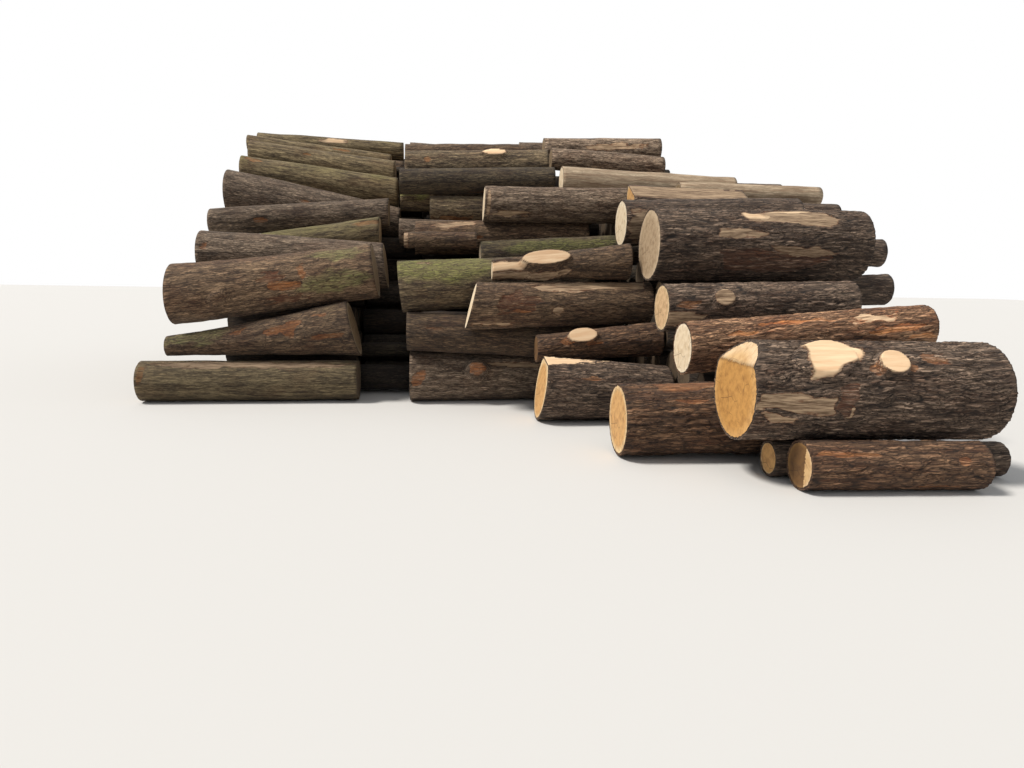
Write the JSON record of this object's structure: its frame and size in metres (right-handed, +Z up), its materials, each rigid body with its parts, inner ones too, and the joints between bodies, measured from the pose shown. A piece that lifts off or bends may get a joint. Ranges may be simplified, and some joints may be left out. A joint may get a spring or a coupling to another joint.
{
  "type": "heap of logs",
  "caption": "Roadside heap of cut tree trunks in bark, lying crosswise side by side in sloping ranks, with sawn end faces.",
  "frame": {"origin": "middle of the heap's bounding box, on the floor", "axes": "+X along the logs, to the right of the front; +Y into the heap; +Z up"},
  "size_m": [8.97, 10.3438, 3.8698],
  "materials": {
    "mossy_bark": "rough grey-brown bark with moss",
    "oak_bark": "deeply furrowed dark brown bark",
    "sawn_wood": "freshly sawn end grain",
    "bare_wood": "debarked orange-brown wood",
    "inner_wood": "inner logs in shade"
  },
  "bodies": {
    "root": {"hidden_core": "inner_wood", "left_back_logs": "mossy_bark", "left_log_01": "mossy_bark", "left_log_02": "mossy_bark", "left_log_03": "mossy_bark", "left_log_04": "mossy_bark", "left_log_05": "mossy_bark", "left_log_06": "mossy_bark", "left_log_07": "mossy_bark", "left_log_08": "mossy_bark", "left_log_09": "mossy_bark", "left_log_10": "mossy_bark", "left_log_11": "mossy_bark", "middle_back_logs": "mossy_bark", "middle_log_01": "mossy_bark", "middle_log_02": "mossy_bark", "middle_log_03": "mossy_bark", "middle_log_04": "mossy_bark", "middle_log_05": "mossy_bark", "middle_log_06": "mossy_bark", "middle_log_07": "mossy_bark", "middle_log_08": "mossy_bark", "middle_log_09": "mossy_bark", "middle_log_10": "mossy_bark", "middle_log_11": "mossy_bark", "middle_log_12": "mossy_bark", "middle_log_13": "mossy_bark", "middle_log_14": "mossy_bark", "middle_log_15": "mossy_bark", "middle_log_16": "mossy_bark", "middle_log_17": "mossy_bark", "right_back_logs": "oak_bark", "right_butt_log": "oak_bark", "right_log_01": "oak_bark", "right_log_02": "oak_bark", "right_log_03": "oak_bark", "right_log_04": "oak_bark", "right_log_05": "oak_bark", "right_log_06": "oak_bark", "right_log_07": "oak_bark", "right_log_08": "oak_bark", "right_log_09": "oak_bark", "right_log_10": "oak_bark", "right_log_11": "oak_bark", "right_log_12": "oak_bark", "right_log_13": "oak_bark", "right_split_log": "oak_bark", "top_log_01": "oak_bark", "top_log_02": "oak_bark", "top_log_03": "oak_bark", "top_log_04": "oak_bark", "top_log_05": "oak_bark", "top_log_06": "oak_bark", "top_log_07": "oak_bark", "top_log_08": "oak_bark", "top_log_09": "oak_bark"}
  },
  "joints": []
}
